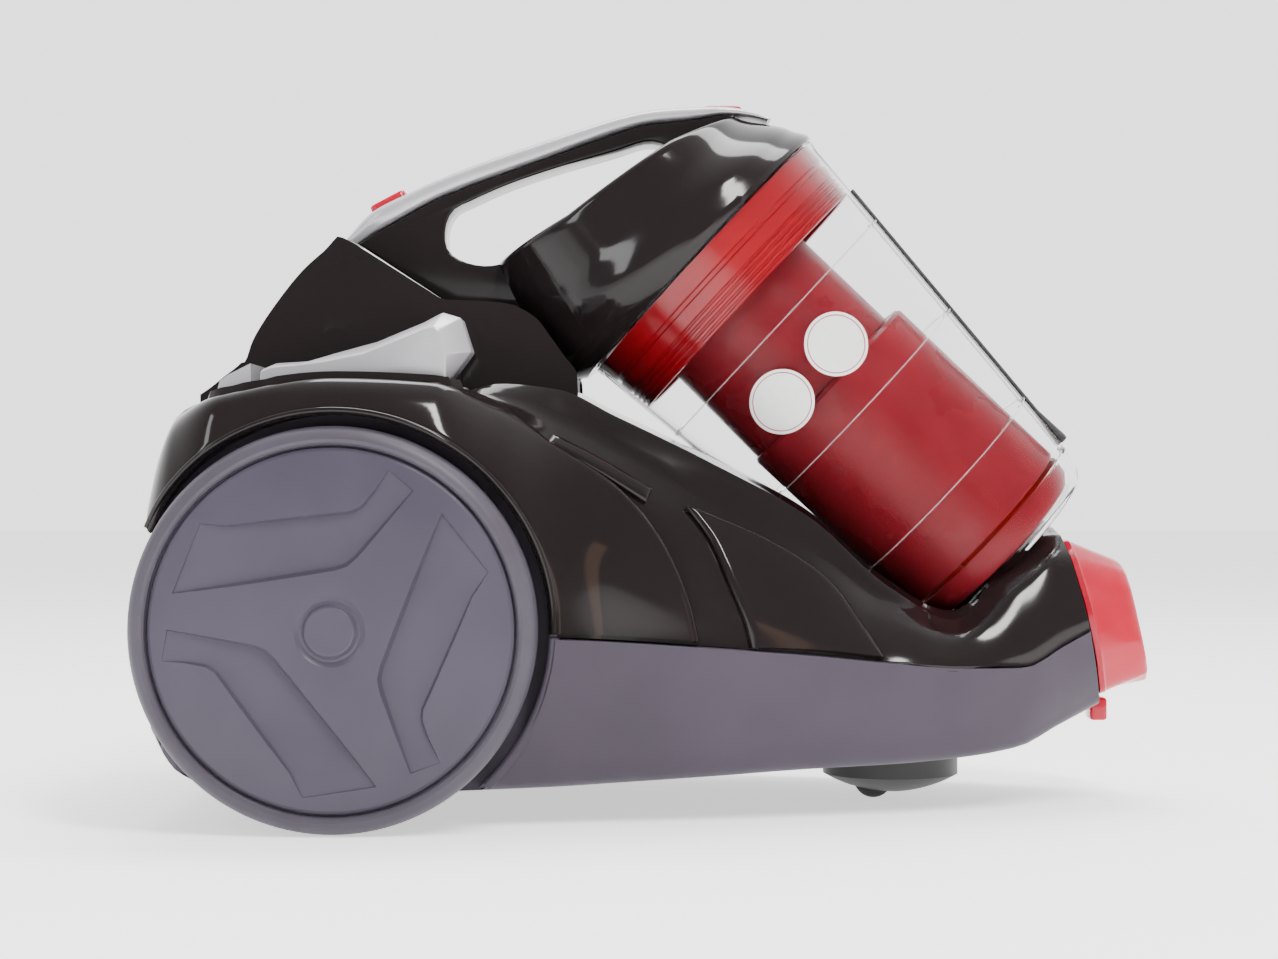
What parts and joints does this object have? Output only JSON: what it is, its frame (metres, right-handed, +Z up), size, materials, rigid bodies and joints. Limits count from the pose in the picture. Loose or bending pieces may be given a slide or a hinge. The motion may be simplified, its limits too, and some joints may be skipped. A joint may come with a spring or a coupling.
{
  "type": "canister vacuum cleaner",
  "caption": "Bagless canister vacuum cleaner with large rear wheels, tilted clear dust bin with lift-out handle, pedals, front caster and hose inlet.",
  "frame": {"origin": "on the floor, under the centre of the object's box", "axes": "+X forward to the hose inlet, +Y to the cleaner's left, +Z up"},
  "size_m": [0.421, 0.276, 0.303],
  "materials": {
    "chassis_grey": "satin moulded plastic",
    "wheel_grey": "satin moulded plastic",
    "tyre_grey": "soft matte rim",
    "gloss_black": "high gloss",
    "black_plastic": "fine matte",
    "red_gloss": "high gloss",
    "red_drum": "smooth, slightly see-through tint",
    "silver_paint": "metallic paint, satin",
    "clear_cup": "clear moulded plastic",
    "seal_rubber": "matte",
    "steel": "turned",
    "winding": "enamelled copper",
    "filter_white": "pleated paper",
    "foam": "open-cell foam",
    "board_green": "lacquered board",
    "badge_white": "gloss label"
  },
  "bodies": {
    "chassis": {"base_tray": "chassis_grey", "case_screws": "steel", "control_board": "board_green", "cord_gland": "black_plastic", "exhaust_filter": "filter_white", "fan_cover": "steel", "inlet_collar": "red_gloss", "inlet_duct": "black_plastic", "inlet_seal": "seal_rubber", "left_fender": "gloss_black", "motor_bearings": "steel", "motor_housing": "black_plastic", "motor_mounts": "seal_rubber", "pedal_brackets": "black_plastic", "pedal_pins": "steel", "pedal_springs": "steel", "port_seal": "seal_rubber", "power_switch": "black_plastic", "rear_cover": "gloss_black", "reel_frame": "black_plastic", "reel_spring_case": "steel", "right_fender": "gloss_black", "stator": "winding", "tail_trims": "silver_paint", "upper_shell": "gloss_black", "wheel_axles": "steel", "wheel_wells": "chassis_grey"},
    "left_wheel_spin_body": {"left_wheel": "wheel_grey", "left_tyre": "tyre_grey", "left_wheel_cover": "wheel_grey"},
    "right_wheel_spin_body": {"right_wheel": "wheel_grey", "right_tyre": "tyre_grey", "right_wheel_cover": "wheel_grey"},
    "caster_fork": {"caster_turntable": "black_plastic", "caster_pin": "steel"},
    "caster_wheel": {"caster_roller": "seal_rubber"},
    "bin": {"dust_cup": "clear_cup", "flap_hinge_pin": "steel", "flap_catch": "black_plastic", "lid": "gloss_black", "lid_seal": "seal_rubber", "cyclone_band": "red_gloss", "shroud": "red_drum", "dust_drum": "red_drum", "cyclone_cone": "red_drum", "premotor_filter": "foam", "handle_base": "gloss_black", "handle_skin": "silver_paint", "badges": "badge_white"},
    "flap": {"cup_flap": "clear_cup"},
    "bin_release": {"bin_release_button": "red_gloss"},
    "flap_release": {"flap_button": "red_gloss"},
    "power_switch_pedal": {"power_pedal": "silver_paint"},
    "cord_rewind_pedal": {"rewind_pedal": "silver_paint"},
    "hose_release": {"hose_release_button": "red_gloss"},
    "exhaust_cover": {"exhaust_door": "black_plastic"},
    "motor_rotor": {"rotor_shaft": "steel", "armature": "winding", "impeller": "steel"},
    "cord_reel": {"reel_drum": "black_plastic"}
  },
  "joints": [
    {"name": "left_wheel_spin", "type": "hinge", "parent": "chassis", "child": "left_wheel_spin_body", "pos_m": [-0.1305, 0.12, 0.08], "axis": [0, 1, 0], "continuous": true},
    {"name": "right_wheel_spin", "type": "hinge", "parent": "chassis", "child": "right_wheel_spin_body", "pos_m": [-0.1305, -0.12, 0.08], "axis": [0, 1, 0], "continuous": true},
    {"name": "caster_swivel", "type": "hinge", "parent": "chassis", "child": "caster_fork", "pos_m": [0.1, 0, 0.02], "axis": [0, 0, 1], "continuous": true},
    {"name": "caster_roll", "type": "hinge", "parent": "caster_fork", "child": "caster_wheel", "pos_m": [0.092, 0, 0.0085], "axis": [0, 1, 0], "continuous": true},
    {"name": "bin_lift", "type": "slide", "parent": "chassis", "child": "bin", "axis": [0, 0, 1], "range_m": [0, 0.2]},
    {"name": "flap_swing", "type": "hinge", "parent": "bin", "child": "flap", "pos_m": [0.10197, 0, 0.07542], "axis": [0, 1, 0], "range_deg": [0, 75]},
    {"name": "bin_release_press", "type": "slide", "parent": "bin", "child": "bin_release", "axis": [0.4664, 0, -0.8846], "range_m": [0, 0.0025], "stiffness_N_per_m": 300, "springref_m": -0.002},
    {"name": "flap_button_press", "type": "slide", "parent": "bin", "child": "flap_release", "axis": [0, 0, -1], "range_m": [0, 0.002], "stiffness_N_per_m": 300, "springref_m": -0.002},
    {"name": "power_pedal_press", "type": "hinge", "parent": "chassis", "child": "power_switch_pedal", "pos_m": [-0.091, -0.08, 0.191], "axis": [0, -1, 0], "range_deg": [0, 2.2], "stiffness_Nm_per_rad": 3, "springref_deg": -1.72},
    {"name": "rewind_pedal_press", "type": "hinge", "parent": "chassis", "child": "cord_rewind_pedal", "pos_m": [-0.091, 0.08, 0.191], "axis": [0, -1, 0], "range_deg": [0, 2.2], "stiffness_Nm_per_rad": 3, "springref_deg": -1.72},
    {"name": "hose_release_press", "type": "slide", "parent": "chassis", "child": "hose_release", "axis": [0, 0, 1], "range_m": [0, 0.002], "stiffness_N_per_m": 300, "springref_m": -0.002},
    {"name": "exhaust_door_swing", "type": "hinge", "parent": "chassis", "child": "exhaust_cover", "pos_m": [-0.2086, 0, 0.07], "axis": [0, -1, 0], "range_deg": [0, 90]},
    {"name": "motor_spin", "type": "hinge", "parent": "chassis", "child": "motor_rotor", "pos_m": [-0.115, -0.0366, 0.085], "axis": [1, 0, 0], "continuous": true},
    {"name": "reel_spin", "type": "hinge", "parent": "chassis", "child": "cord_reel", "pos_m": [-0.118, 0.05, 0.085], "axis": [0, 1, 0], "continuous": true}
  ],
  "couplings": [
    {"joint": "flap_swing", "follows": "bin_lift", "rad_per_m": 6.4}
  ]
}
